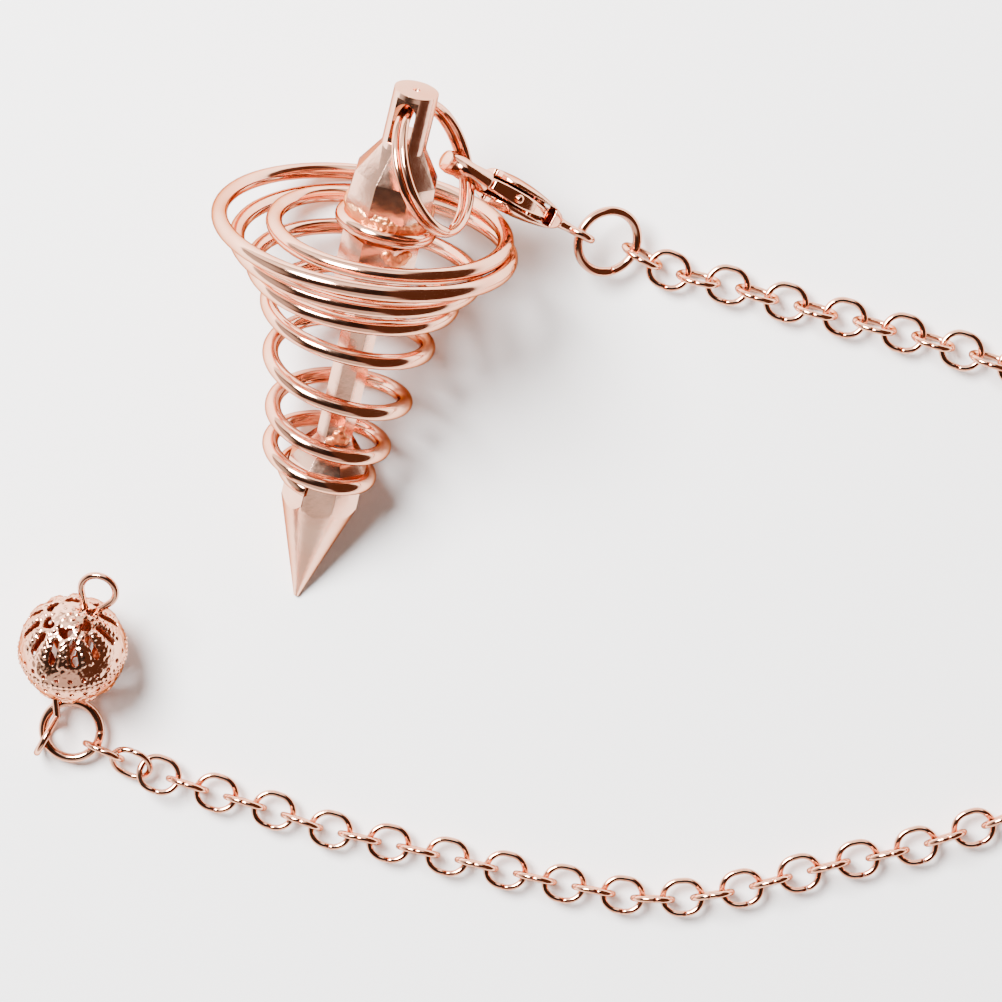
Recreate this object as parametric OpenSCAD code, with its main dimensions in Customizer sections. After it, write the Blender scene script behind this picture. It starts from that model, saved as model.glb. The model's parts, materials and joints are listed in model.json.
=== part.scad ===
// Pendulum pendant: a pointed spindle in a widening wire coil, with its ring, clasp, chain and end bead.
// Millimetres, +Z up, lying on the plane z = 0 with the origin under the middle of the whole thing.

/* [Spindle] */
// Width of the octagonal base and collar across the flats
bar_af = 7.1; // [6.6:0.1:7.6]
// Width of the thin octagonal stem across the flats
stem_af = 3.3; // [2.6:0.1:4.4]
// Length of the conical point up to the base
point_len = 11.8; // [9:0.1:12.4]
// Radius of the rounded tip of the point
tip_r = 0.3; // [0.2:0.05:0.5]
// Height at which the upper shoulder of the base begins
base_top = 15; // [14:0.1:16]
// Length over which the base narrows to the stem
shoulder_len = 2.6; // [2:0.1:4]
// Length of the stem
stem_len = 12.9; // [11:0.1:15]
// Length over which the stem widens to the collar
flare_len = 4; // [3:0.1:5]
// Length of the collar
collar_len = 4.3; // [3.6:0.1:5]
// Width across the flats at the bottom of that groove
neck_af = 6; // [5.4:0.1:6.4]
// Width of the barrel head across the flats at its widest
head_af = 7.8; // [7:0.1:8.2]
// Length of the groove under the barrel head, which holds the coil's last turn
groove_len = 2.1; // [2:0.1:2.8]
// Length of the barrel head's widest part
head_len = 3.8; // [3:0.1:5]
// Length over which the head narrows to the post
cap_len = 3; // [2.4:0.1:4]
// Length of the post
post_len = 5.4; // [5.2:0.1:6.4]
// Diameter of the round post
post_d = 4.1; // [3.8:0.1:4.6]
// Width of the arched eye through the post
eye_w = 2; // [1.9:0.05:2.4]
// Height of the arched eye through the post
eye_h = 3.6; // [3.2:0.1:3.8]

/* [Coil] */
// Diameter of the coil's wire
coil_wire_d = 1.5; // [1.2:0.05:1.7]
// Radius of the widest turn, to the middle of the wire
coil_r = 13.5; // [12.5:0.1:15]
// How far the widest turns stand off the spindle's axis
coil_lean = 1.4; // [0:0.1:1.8]
// Rise of the widest turns from one side to the other, in degrees
coil_tilt = 5; // [0:0.5:6]

/* [Split ring] */
// Diameter of the split ring to the middle of its wire
split_d = 12; // [11.8:0.1:12.4]
// Diameter of the split ring's wire
split_wire_d = 0.75; // [0.6:0.05:0.8]
// Gap between the two turns of the split ring
split_gap = 0.03; // [0.02:0.01:0.1]

/* [Clasp] */
// Length of the clasp from the middle of its hook to the middle of its eye
clasp_len = 13.8; // [12.6:0.1:14.6]
// Outer radius of the hook
hook_r = 2.6; // [2.5:0.05:3]
// Radius of the opening inside the hook
hook_hole_r = 1.7; // [1.6:0.05:1.8]
// Greatest thickness of the clasp's pod
pod_w = 3.5; // [3:0.1:3.6]
// Width of the slot that holds the lever
pod_slot_w = 1.5; // [1.3:0.05:1.7]
// Thickness of the lever
lever_w = 1.1; // [0.8:0.05:1.2]
// Diameter of the pin that the lever turns on
pin_d = 0.7; // [0.5:0.05:0.8]
// Clearance of the lever on its pin, all round
pin_gap = 0.06; // [0.03:0.01:0.1]
// Diameter of the wire of the clasp's eye
clasp_eye_wire_d = 0.75; // [0.6:0.05:0.85]
// Diameter of the clasp's eye to the middle of its wire
clasp_eye_d = 2.3; // [2.2:0.1:2.6]

/* [Jump rings] */
// Diameter of the clasp's jump ring to the middle of its wire
clasp_ring_d = 5.96; // [5.4:0.1:6.6]
// Diameter of the end jump ring to the middle of its wire
end_ring_d = 5.44; // [5:0.1:6]
// Diameter of the jump rings' wire
ring_wire_d = 0.86; // [0.7:0.02:0.9]

/* [Chain] */
// Outer length of a chain link
link_len = 4.35; // [4.2:0.05:4.6]
// Outer width of a chain link
link_w = 3.8; // [3.65:0.05:4]
// Diameter of a chain link's wire
link_wire_d = 0.6; // [0.5:0.02:0.62]
// Room between a link's wire and the next link's, along the chain
link_play = 0.22; // [0.2:0.02:0.3]
// Lean of the upright links, in degrees from the surface
link_lean = 80; // [76:1:84]

/* [Filigree bead] */
// Diameter of the bead
bead_d = 10.2; // [9.8:0.1:10.6]
// Thickness of the bead's pierced wall
bead_wall = 0.5; // [0.4:0.05:0.7]
// Diameter of the granules on the bead
granule_d = 0.6; // [0.4:0.05:0.7]
// Number of motifs round the bead
motifs = 6; // [4:1:7]
// Diameter of the wire through the bead
eye_wire_d = 0.65; // [0.5:0.05:0.7]
// Diameter of the eyes at the wire's ends, to the middle of the wire
wire_eye_d = 3.3; // [3.1:0.1:3.4]
// Tilt of the bead's axis, in degrees from the surface
bead_tilt = 27; // [24:1:28]

/* [Hidden] */
ROSE = "#e0a48e";
BRIGHT = "#efc4b2";
$fn = 96;

// Heights along the spindle, from its point up
stem_foot = base_top + shoulder_len;
stem_top = stem_foot + stem_len;
collar_foot = stem_top + flare_len;
collar_top = collar_foot + collar_len;
head_foot = collar_top + groove_len;
head_shoulder = head_foot + head_len;
post_foot = head_shoulder + cap_len;
spindle_len = post_foot + post_len;
// The eye sits in the post's lower part, and the coil runs from the base to the groove
EYE_LIFT = 0.9;
eye_z = post_foot + EYE_LIFT + eye_h / 2;
coil_foot = base_top - 1.6;
coil_top = head_foot - 1;

// The pendulum lies on its point and its coil's rim: where the point is, and the axis' turn
POINT_AT = [-19.3, -8.64];
AXIS_TURN = 76.3;

// The bead lies on the surface: the middle of the bead and the direction of its axis in plan
BEAD_AT = [-40.1, -13.2];
BEAD_TURN = 65.5;

// The chain's route on the surface, from the end ring's side to the clasp's, through the hidden turn
CHAIN_ROUTE = [
    [-32.9, -25.7], [-27.7, -27.5], [-22.2, -29.2], [-16.5, -31.2], [-10.6, -32.6], [-4.6, -34],
    [1.6, -35.5], [7.9, -36.9], [14.2, -37.9], [20.3, -37.5], [26.2, -36.1], [31.7, -34.6], [37.4, -33.4],
    [42.8, -31.8], [48.8, -29.6], [59, -24.2], [63.4, -15], [64.6, -6], [62, 4.6], [55, 11.2], [46.9, 13.2],
    [40.8, 15.2], [35.3, 16.7], [26.7, 18.95], [21.3, 20.55], [16, 21.85]];

// Directions and rotations
function unit(v) = v / norm(v);
function axis_dir(rise, turn) = [cos(rise) * cos(turn), cos(rise) * sin(turn), sin(rise)];

// Coil: turns from the lower end, radius, height and lean as shares of the coil's own sizes
COIL = [
    [-0.7, 0.286, -0.01, 0], [-0.45, 0.286, 0.005, 0], [-0.2, 0.284, 0.012, 0.02], [0, 0.296, 0.03, 0.03],
    [0.25, 0.387, 0.055, 0.06], [0.5, 0.413, 0.085, 0.09], [0.75, 0.385, 0.115, 0.12], [1, 0.364, 0.147, 0.16],
    [1.25, 0.395, 0.182, 0.2], [1.5, 0.436, 0.228, 0.25], [2, 0.456, 0.333, 0.37], [2.5, 0.51, 0.44, 0.5],
    [3, 0.544, 0.55, 0.62], [3.5, 0.582, 0.64, 0.72], [4, 0.655, 0.717, 0.81], [4.5, 0.718, 0.775, 0.87],
    [5, 0.779, 0.819, 0.92], [5.5, 0.856, 0.866, 0.97], [5.75, 0.931, 0.897, 1], [6, 0.98, 0.92, 1],
    [6.25, 0.999, 0.945, 1], [6.5, 1, 0.953, 1], [6.75, 0.981, 0.958, 1], [7, 0.926, 0.967, 1],
    [7.25, 0.811, 0.972, 1], [7.5, 0.632, 0.975, 0.8], [7.75, 0.43, 0.975, 0.4], [8, 0.31, 0.985, 0.1],
    [8.25, 0.29, 1.005, 0], [8.5, 0.29, 0.995, 0], [8.72, 0.29, 0.99, 0]];
COIL_RADIUS = 1;
COIL_HEIGHT = 2;
COIL_LEANS = 3;
COIL_STEPS = 24;
COIL_SIDES = 10;
COIL_TURNS = COIL[len(COIL) - 1][0] - COIL[0][0];

function coil_point(t) =
    let (r = coil_r * smooth(COIL, t, COIL_RADIUS), lean = smooth(COIL, t, COIL_LEANS),
         x = r * cos(-360 * t), y = r * sin(-360 * t))
    [x - coil_lean * lean, y,
     coil_foot + (coil_top - coil_foot) * smooth(COIL, t, COIL_HEIGHT) + lean * tan(coil_tilt) * (x - 0.4 * y)];

// The axis rises until the coil's rim rests on the surface: how far, for a place on the coil
COIL_SAG = coil_wire_d / 2 * (1 - cos(180 / COIL_SIDES));
function rise_for(p) =
    let (far = norm([p.z - tip_r, p.y]))
    atan2(p.y, p.z - tip_r) + asin((coil_wire_d / 2 - tip_r - COIL_SAG) / far);
AXIS_RISE = max([for (i = [0:COIL_STEPS * COIL_TURNS]) rise_for(coil_point(COIL[0][0] + i / COIL_STEPS))]);

// The pendulum's own directions: across to the right, down to the surface, and along its axis
PEN_X = [sin(AXIS_TURN), -cos(AXIS_TURN), 0];
PEN_Z = axis_dir(AXIS_RISE, AXIS_TURN);
PEN_Y = cross(PEN_Z, PEN_X);
PEN_AT = [POINT_AT.x, POINT_AT.y, tip_r];
function pen_vec(v) = v.x * PEN_X + v.y * PEN_Y + v.z * PEN_Z;
function pen_point(p) = PEN_AT + pen_vec(p);

// Puts children that are drawn along x, y, z in the frame with the origin at and axes x, y, z
module in_frame(at, x, y, z)
    multmatrix([[x.x, y.x, z.x, at.x], [x.y, y.y, z.y, at.y], [x.z, y.z, z.z, at.z], [0, 0, 0, 1]])
        children();

// Smooth curve through rows of a table: the value in column c at t, where column 0 holds the rows' t
function row_of(rows, t, i = 0) = i >= len(rows) - 2 || t < rows[i + 1][0] ? i : row_of(rows, t, i + 1);
function slope(rows, i, c) =
    let (a = max(i - 1, 0), b = min(i + 1, len(rows) - 1))
    (rows[b][c] - rows[a][c]) / (rows[b][0] - rows[a][0]);
function smooth(rows, t, c) =
    let (i = row_of(rows, t), w = rows[i + 1][0] - rows[i][0], u = (t - rows[i][0]) / w)
    rows[i][c] * (2 * u ^ 3 - 3 * u ^ 2 + 1) + rows[i + 1][c] * (3 * u ^ 2 - 2 * u ^ 3)
    + w * slope(rows, i, c) * (u ^ 3 - 2 * u ^ 2 + u) + w * slope(rows, i + 1, c) * (u ^ 3 - u ^ 2);

// A round wire swept along points, with sides faces round it; up is a direction that it never follows
function tangent(pts, i) = unit(pts[min(i + 1, len(pts) - 1)] - pts[max(i - 1, 0)]);
module wire(pts, d, sides, up) {
    rings = [for (i = [0:len(pts) - 1])
        let (t = tangent(pts, i), n = unit(cross(up, t)), b = cross(t, n))
        for (k = [0:sides - 1]) pts[i] + d / 2 * (cos(360 * k / sides) * n + sin(360 * k / sides) * b)];
    last = (len(pts) - 1) * sides;
    walls = [for (i = [0:len(pts) - 2], k = [0:sides - 1])
        let (a = i * sides + k, b = i * sides + (k + 1) % sides)
        each [[a, a + sides, b], [b, a + sides, b + sides]]];
    polyhedron(rings, concat([[for (k = [0:sides - 1]) k]], walls, [[for (k = [sides - 1:-1:0]) last + k]]));
}

// Spindle
HEAD_TAPER = 0.94;
HEAD_CHAMFER = 0.6;
POST_SEAT = 0.46;
// Half widths across the flats at each height, from the point up
SPINDLE = [
    [0, bar_af / 2], [base_top, bar_af / 2], [stem_foot, stem_af / 2], [stem_top, stem_af / 2],
    [collar_foot, bar_af / 2], [collar_top, bar_af / 2], [collar_top, neck_af / 2],
    [head_foot - HEAD_CHAMFER / 2, neck_af / 2], [head_foot + HEAD_CHAMFER, head_af / 2],
    [head_shoulder, head_af / 2 * HEAD_TAPER], [post_foot, post_d * POST_SEAT]];

module octagonal_bar()
    intersection_for (turn = [0:45:135]) rotate([90, 0, turn]) translate([0, 0, -bar_af])
        linear_extrude(2 * bar_af)
            polygon(concat([for (p = SPINDLE) [p[1], p[0]]],
                           [for (i = [len(SPINDLE) - 1:-1:0]) [-SPINDLE[i][1], SPINDLE[i][0]]]));

// The cone that sharpens the bar meets its corners at point_len
module sharpening() {
    corner = bar_af / 2 / cos(22.5);
    rotate_extrude() polygon([[0, 0], [tip_r * 0.8, tip_r * 0.2], [corner, point_len], [bar_af, point_len],
                              [bar_af, spindle_len], [0, spindle_len]]);
}

module arched_slot(w, h, depth)
    rotate([90, 0, 0]) linear_extrude(depth, center = true) {
        translate([0, h / 2 - w / 2]) circle(w / 2);
        translate([-w / 2, -h / 2]) square([w, h - w / 2]);
    }

// Turn of the milled flat and the eye round the post
EYE_TURN = -17;
module post() {
    flat_at = post_d / 2 * 0.86;
    dimple_r = 0.35;
    difference() {
        translate([0, 0, post_foot - 1]) cylinder(h = spindle_len - post_foot + 1, d = post_d);
        rotate([0, 0, EYE_TURN]) {
            translate([0, 0, eye_z]) arched_slot(eye_w, eye_h, 2 * post_d);
            translate([-post_d, -flat_at - post_d, post_foot + 0.4]) cube([2 * post_d, post_d, eye_h + 0.9]);
        }
        translate([0, 0, spindle_len]) sphere(dimple_r);
    }
}

module coil() {
    n = round(COIL_TURNS * COIL_STEPS);
    wire([for (i = [0:n]) coil_point(COIL[0][0] + COIL_TURNS * i / n)], coil_wire_d, COIL_SIDES, [0, 0, 1]);
}

// Solder: where the wire's ends and the stem meet the bar, as lumps of [azimuth, height, radius]
module solder(seat_r, lumps)
    for (s = lumps) rotate([0, 0, s[0]]) translate([seat_r, 0, s[1]]) sphere(s[2]);

module pendulum() {
    color(ROSE) lay() in_frame(PEN_AT - tip_r * PEN_Z, PEN_X, PEN_Y, PEN_Z) {
        intersection() {
            octagonal_bar();
            sharpening();
        }
        translate([0, 0, tip_r]) sphere(tip_r * 0.95);
        post();
        coil();
        solder(neck_af / 2, [for (a = [0:30:330]) [a, head_foot - 0.35, 0.55 + 0.1 * sin(5 * a)]]);
        solder(stem_af / 2, [[-60, stem_foot + 0.2, 0.6], [-95, stem_foot, 0.5]]);
        solder(bar_af / 2, [[-50, collar_top - 0.9, 0.5], [-68, collar_top - 0.7, 0.4]]);
    }
}

// Split ring: its middle and its axis in the pendulum's own frame
SPLIT_AT = [3.15, -0.7, eye_z - 4.3];
SPLIT_AXIS = unit([-0.773, 0.297, -0.561]);
SPLIT_Z = pen_vec(SPLIT_AXIS);
SPLIT_X = unit(cross(SPLIT_Z, [0, 0, 1]));
SPLIT_Y = cross(SPLIT_Z, SPLIT_X);
SPLIT_MID = pen_point(SPLIT_AT);
SPLIT_TURNS = 1.9;
SPLIT_STEPS = 40;
SPLIT_SIDES = 8;
SPLIT_START = 200;
function split_point(a, lift) = [split_d / 2 * cos(a), split_d / 2 * sin(a), lift];

module split_ring() {
    n = round(SPLIT_TURNS * SPLIT_STEPS);
    rise = (split_wire_d + split_gap) * SPLIT_TURNS;
    color(BRIGHT) lay() in_frame(SPLIT_MID, SPLIT_X, SPLIT_Y, SPLIT_Z)
        wire([for (i = [0:n]) split_point(SPLIT_START + 360 * SPLIT_TURNS * i / n, rise * (i / n - 0.5))],
             split_wire_d, SPLIT_SIDES, [0, 0, 1]);
}

// Clasp: it hangs in the split ring at HOOK_TURN and slopes down to the surface
HOOK_TURN = 104;
CLASP_RISE = -28;
CLASP_TURN = -31;
CLASP_ROLL = -7;
// The ring's wire lies in the hook's opening, off its middle by this much along and across the clasp
HOOKED_AT = [0, 0.25];
CLASP_X = axis_dir(CLASP_RISE, CLASP_TURN);
CLASP_SIDE = unit(cross(CLASP_X, [0, 0, 1]));
CLASP_UP = cross(CLASP_SIDE, CLASP_X);
CLASP_Y = cos(CLASP_ROLL) * CLASP_UP + sin(CLASP_ROLL) * CLASP_SIDE;
CLASP_Z = cross(CLASP_X, CLASP_Y);
HOOKED = SPLIT_MID + split_d / 2 * (cos(HOOK_TURN) * SPLIT_X + sin(HOOK_TURN) * SPLIT_Y);
CLASP_AT = HOOKED - HOOKED_AT.x * CLASP_X - HOOKED_AT.y * CLASP_Y;

// The pod: along the clasp as shares of its length, spine and gate as shares of hook_r, side of pod_w / 2
POD = [
    [-0.2, 0, 0, 0.3], [-0.187, -0.36, 0.36, 0.37], [-0.15, -0.68, 0.68, 0.42], [-0.1, -0.88, 0.88, 0.46],
    [-0.03, -1, 0.98, 0.52], [0.06, -1.03, 0.97, 0.64], [0.15, -0.98, 0.9, 0.8], [0.25, -0.9, 0.84, 0.95],
    [0.35, -0.8, 0.8, 1], [0.47, -0.68, 0.7, 0.95], [0.59, -0.54, 0.56, 0.82], [0.69, -0.42, 0.42, 0.66],
    [0.76, -0.32, 0.32, 0.52], [0.8, -0.24, 0.26, 0.4]];
POD_SPINE = 1;
POD_GATE = 2;
POD_SIDE = 3;
// Where the hook's point ends, where the side walls begin and where the slot ends, along the clasp
HOOK_END = hook_hole_r - 0.1;
WALLS_FROM = hook_hole_r + 1.6;
SLOT_END = 0.708 * clasp_len;
PIN_AT = [0.5385 * clasp_len, 0.2115 * hook_r];

module pod_profile()
    polygon(concat([for (p = POD) [p[0] * clasp_len, p[POD_GATE] * hook_r]],
                   [for (i = [len(POD) - 1:-1:1]) [POD[i][0] * clasp_len, POD[i][POD_SPINE] * hook_r]]));

module pod_plan()
    polygon(concat([for (p = POD) [p[0] * clasp_len, p[POD_SIDE] * pod_w / 2]],
                   [for (i = [len(POD) - 1:-1:0]) [POD[i][0] * clasp_len, -POD[i][POD_SIDE] * pod_w / 2]]));

module clasp_body() {
    slot_floor = -hook_hole_r + 0.25;
    eye_neck = clasp_len - clasp_eye_d / 2;
    color(ROSE) lay() in_frame(CLASP_AT, CLASP_X, CLASP_Y, CLASP_Z) {
        difference() {
            intersection() {
                linear_extrude(2 * pod_w, center = true) pod_profile();
                rotate([90, 0, 0]) linear_extrude(4 * hook_r, center = true) pod_plan();
            }
            cylinder(h = 2 * pod_w, r = hook_hole_r, center = true);
            translate([0, -hook_hole_r, -pod_w]) cube([WALLS_FROM - 0.6, 2 * hook_hole_r, 2 * pod_w]);
            translate([HOOK_END, -0.2, -pod_w]) cube([WALLS_FROM - HOOK_END, 2 * hook_r, 2 * pod_w]);
            translate([WALLS_FROM - 1, slot_floor, -pod_slot_w / 2])
                cube([SLOT_END - WALLS_FROM + 1, 2 * hook_r, pod_slot_w]);
            translate([PIN_AT.x, PIN_AT.y, 0]) cylinder(h = 2 * pod_w, d = pin_d, center = true);
        }
        translate([POD[len(POD) - 2][0] * clasp_len, 0, 0]) rotate([0, 90, 0])
            cylinder(h = eye_neck - POD[len(POD) - 2][0] * clasp_len, d = clasp_eye_wire_d);
        translate([clasp_len, 0, 0]) ring(clasp_eye_d, clasp_eye_wire_d);
    }
}

// Lever: its outline from the pin to its tip under the hook's point, drawn with the clasp shut
LEVER_TIP = [hook_hole_r - 0.8, 0.52 * hook_r];
KNOB_AT = [PIN_AT.x - 2.5, 0.904 * hook_r];
KNOB_R = 0.5;
module lever_profile() {
    polygon([[LEVER_TIP.x, LEVER_TIP.y - 0.5], [LEVER_TIP.x, LEVER_TIP.y + 0.1],
             [HOOK_END + 0.25, LEVER_TIP.y + 0.2], [HOOK_END + 0.35, 0.846 * hook_r],
             [WALLS_FROM + 0.6, 0.885 * hook_r], [PIN_AT.x - 1.6, 0.808 * hook_r],
             [PIN_AT.x + 0.5, 0.577 * hook_r], [PIN_AT.x + 0.9, PIN_AT.y], [PIN_AT.x, PIN_AT.y - 0.95],
             [PIN_AT.x - 1.4, PIN_AT.y - 0.45], [WALLS_FROM + 0.3, PIN_AT.y],
             [LEVER_TIP.x + 1.1, LEVER_TIP.y - 0.6]]);
    translate(PIN_AT) circle(1);
}

module clasp_lever() {
    color(BRIGHT) lay() in_frame(CLASP_AT, CLASP_X, CLASP_Y, CLASP_Z) difference() {
        union() {
            linear_extrude(lever_w, center = true) lever_profile();
            translate([KNOB_AT.x, KNOB_AT.y, 0]) sphere(KNOB_R);
        }
        translate([PIN_AT.x, PIN_AT.y, 0]) cylinder(h = 2 * pod_w, d = pin_d + 2 * pin_gap, center = true);
    }
}

module clasp_pin()
    color(ROSE) lay() in_frame(CLASP_AT, CLASP_X, CLASP_Y, CLASP_Z)
        translate([PIN_AT.x, PIN_AT.y, 0]) cylinder(h = pod_w * 0.86, d = pin_d, center = true);

module ring(d, wire_d) rotate_extrude() translate([d / 2, 0]) circle(d = wire_d);

// Clasp ring: its wire passes through the clasp's eye and it lies tilted towards the chain
CLASP_EYE_AT = CLASP_AT + clasp_len * CLASP_X;
CLASP_RING_X = unit([2.6, -0.8, -1.25]);
CLASP_RING_Z = unit(cross(CLASP_RING_X, [0.25, 0.95, 0.15]));
CLASP_RING_Y = cross(CLASP_RING_Z, CLASP_RING_X);
CLASP_RING_AT = CLASP_EYE_AT + clasp_ring_d / 2 * CLASP_RING_X;
module clasp_ring() color(ROSE) lay() in_frame(CLASP_RING_AT, CLASP_RING_X, CLASP_RING_Y, CLASP_RING_Z)
    ring(clasp_ring_d, ring_wire_d);

// Bead, its wire and the end ring
// Height that the granules stand off the bead
RELIEF = granule_d / 4;
BEAD_X = axis_dir(bead_tilt, BEAD_TURN);
BEAD_Y = [-sin(BEAD_TURN), cos(BEAD_TURN), 0];
BEAD_Z = cross(BEAD_X, BEAD_Y);
BEAD_MID = [BEAD_AT.x, BEAD_AT.y, bead_d / 2 + RELIEF];
EYE_REACH = bead_d / 2 + 0.7 + wire_eye_d / 2;
// The far end of the wire is bent where it leaves the bead, and its eye stands upright near the surface
BEND_AT = BEAD_MID - (bead_d / 2 + 0.3) * BEAD_X;
END_EYE_AT = [BEAD_AT.x - 2.97, BEAD_AT.y - 9.07, wire_eye_d / 2 + eye_wire_d / 2 + 0.02];
END_EYE_X = axis_dir(0, 240.6);
END_EYE_Y = [-END_EYE_X.y, END_EYE_X.x, 0];
// The end ring's wire passes through that eye on the ring's own X axis
END_RING_X = axis_dir(-4, 198.2);
END_RING_AT = END_EYE_AT + 0.27 * END_EYE_X + [0, 0, 1.3 - END_EYE_AT.z] - end_ring_d / 2 * END_RING_X;
END_RING_Z = unit(cross(END_RING_X, axis_dir(0, 288.2)));
END_RING_Y = cross(END_RING_Z, END_RING_X);
module end_ring() color(ROSE) lay() in_frame(END_RING_AT, END_RING_X, END_RING_Y, END_RING_Z)
    ring(end_ring_d, ring_wire_d);

module bead_wire() {
    stem = EYE_REACH - wire_eye_d / 2;
    bend = norm(BEND_AT - BEAD_MID);
    down = END_EYE_AT - wire_eye_d / 2 * END_EYE_X - BEND_AT;
    color(ROSE) lay() {
        in_frame(BEAD_MID, BEAD_X, BEAD_Y, BEAD_Z) {
            translate([-bend, 0, 0]) rotate([0, 90, 0]) cylinder(h = stem + bend, d = eye_wire_d);
            translate([EYE_REACH, 0, 0]) ring(wire_eye_d, eye_wire_d);
        }
        translate(BEND_AT) sphere(d = 1.08 * eye_wire_d);
        translate(BEND_AT) rotate([0, acos(down.z / norm(down)), atan2(down.y, down.x)])
            cylinder(h = norm(down), d = eye_wire_d);
        in_frame(END_EYE_AT, END_EYE_X, END_EYE_Y, [0, 0, 1]) rotate([90, 0, 0]) ring(wire_eye_d, eye_wire_d);
    }
}

// Pierced pattern: round each pole a ring of hearts, then tall slits between columns of granules, then
// small round holes beside the middle seam. The wire passes through one heart of each half.
POLE_RISE = 39.6;
POLE_TURN = 90.6;
BEAD_POLE = axis_dir(POLE_RISE, POLE_TURN);
PATTERN_X = unit(BEAD_X - (BEAD_X * BEAD_POLE) * BEAD_POLE);
PATTERN_Y = cross(BEAD_POLE, PATTERN_X);
HEART_LAT = asin(BEAD_X * BEAD_POLE);
SLIT_LAT = 43;
HOLE_LAT = 11;
heart_w = 0.12 * bead_d;
slit_len = 0.236 * bead_d;
slit_w = 0.05 * bead_d;
hole_d = 0.042 * bead_d;
module at_bead(lat, lon)
    rotate([0, 0, lon]) rotate([0, -lat, 0]) translate([bead_d / 2, 0, 0]) rotate([0, 90, 0])
    children();
module granule(share = 1)
    translate([0, 0, RELIEF - granule_d * share / 2]) sphere(d = granule_d * share);
module heart() {
    for (side = [-1, 1]) translate([-0.2 * heart_w, side * 0.27 * heart_w, 0])
        cylinder(h = 4 * bead_wall, r = 0.28 * heart_w, center = true);
    translate([0.05 * heart_w, 0, 0]) cylinder(h = 4 * bead_wall, r = 0.32 * heart_w, center = true);
}
module half_pattern_holes(step) {
    for (m = [0:motifs - 1]) at_bead(HEART_LAT, step * m) heart();
    for (m = [0:2 * motifs - 1])
        at_bead(SLIT_LAT, step * (m + 0.5) / 2) cube([slit_len, slit_w, 4 * bead_wall], center = true);
    for (m = [0:4 * motifs - 1])
        at_bead(HOLE_LAT, step * (m + 0.5) / 4) cylinder(h = 4 * bead_wall, d = hole_d, center = true);
}
module half_pattern_granules(step) {
    at_bead(90, 0) granule();
    for (m = [0:motifs - 1]) at_bead(80, step * (m + 0.5)) granule(0.85);
    for (m = [0:2 * motifs - 1], row = [-1, 0, 1])
        at_bead(SLIT_LAT - 2 + 9 * row, step * m / 2) granule();
}
module filigree_bead() {
    step = 360 / motifs;
    color(BRIGHT) lay() in_frame(BEAD_MID, PATTERN_X, PATTERN_Y, BEAD_POLE) difference() {
        union() {
            rotate([90, 0, 0]) sphere(d = bead_d);
            for (side = [0, 180]) rotate([0, side, 0]) half_pattern_granules(step);
        }
        rotate([90, 0, 0]) sphere(d = bead_d - 2 * bead_wall);
        for (side = [0, 180]) rotate([0, side, 0]) half_pattern_holes(step);
    }
}

// Chain: links at equal steps along a smooth route, upright ones leaning and flat ones between them
LINK_REACH = link_len / 2 - link_wire_d / 2;
RING_PLAY = 0.26;
HOLD = ring_wire_d / 2 + link_wire_d / 2 + RING_PLAY;
UPRIGHT_Z = (link_w - link_wire_d) / 2 * sin(link_lean) + link_wire_d / 2;
FLAT_SINKS = 0.35;
// Where the chain's end links hold the rings, in each ring's own plane
CLASP_RING_OUT = [0.98, -0.12];
END_RING_OUT = [-0.627, 0.779];
function reach_out(at, x, y, d, out) =
    let (c = unit(out.x * x + out.y * y)) at + d / 2 * c + (LINK_REACH - HOLD) * unit([c.x, c.y, 0]);
CHAIN_FROM = reach_out(END_RING_AT, END_RING_X, END_RING_Y, end_ring_d, END_RING_OUT);
CHAIN_TO = reach_out(CLASP_RING_AT, CLASP_RING_X, CLASP_RING_Y, clasp_ring_d, CLASP_RING_OUT);
ROUTE = concat([[CHAIN_FROM.x, CHAIN_FROM.y]], CHAIN_ROUTE, [[CHAIN_TO.x, CHAIN_TO.y]]);
function sums(v, i = 0, total = 0) = i >= len(v) ? [total] : concat([total], sums(v, i + 1, total + v[i]));
CHORDS = sums([for (i = [0:len(ROUTE) - 2]) norm(ROUTE[i + 1] - ROUTE[i])]);
KNOTS = [for (i = [0:len(ROUTE) - 1]) [CHORDS[i], ROUTE[i].x, ROUTE[i].y]];
function route_at(t) = [smooth(KNOTS, t, 1), smooth(KNOTS, t, 2)];
FINE = 0.25;
FINE_N = ceil(CHORDS[len(CHORDS) - 1] / FINE);
FINE_T = [for (i = [0:FINE_N]) CHORDS[len(CHORDS) - 1] * i / FINE_N];
FINE_LEN = sums([for (i = [0:FINE_N - 1]) norm(route_at(FINE_T[i + 1]) - route_at(FINE_T[i]))]);
ROUTE_LEN = FINE_LEN[FINE_N];
PITCH_MOST = link_len - 2 * link_wire_d - link_play;
LINK_STEPS = 2 * ceil((ROUTE_LEN / PITCH_MOST - 1) / 2) + 1;
LENGTHS = [for (i = [0:FINE_N]) [FINE_LEN[i], FINE_T[i]]];
// How far link i stands up: the chain is twisted over its first three links, then flat and upright by turns
TWISTED = [1, 0.44, -0.12];
function link_turn(i) = i < len(TWISTED) ? TWISTED[i] : i % 2;
function link_z(i) = i < len(TWISTED) || i % 2 == 1 ? UPRIGHT_Z : UPRIGHT_Z - FLAT_SINKS;
function link_at(i) = route_at(smooth(LENGTHS, ROUTE_LEN * min(max(i, 0), LINK_STEPS) / LINK_STEPS, 1));

module chain_link() {
    bend = (link_w - link_wire_d) / 2;
    straight = link_len - link_w;
    for (side = [0, 180]) rotate([0, 0, side]) {
        translate([straight / 2, 0, 0]) rotate_extrude(angle = 180, start = -90)
            translate([bend, 0]) circle(d = link_wire_d);
        translate([0, bend, 0]) rotate([0, 90, 0]) cylinder(h = straight, d = link_wire_d, center = true);
    }
}

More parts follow.
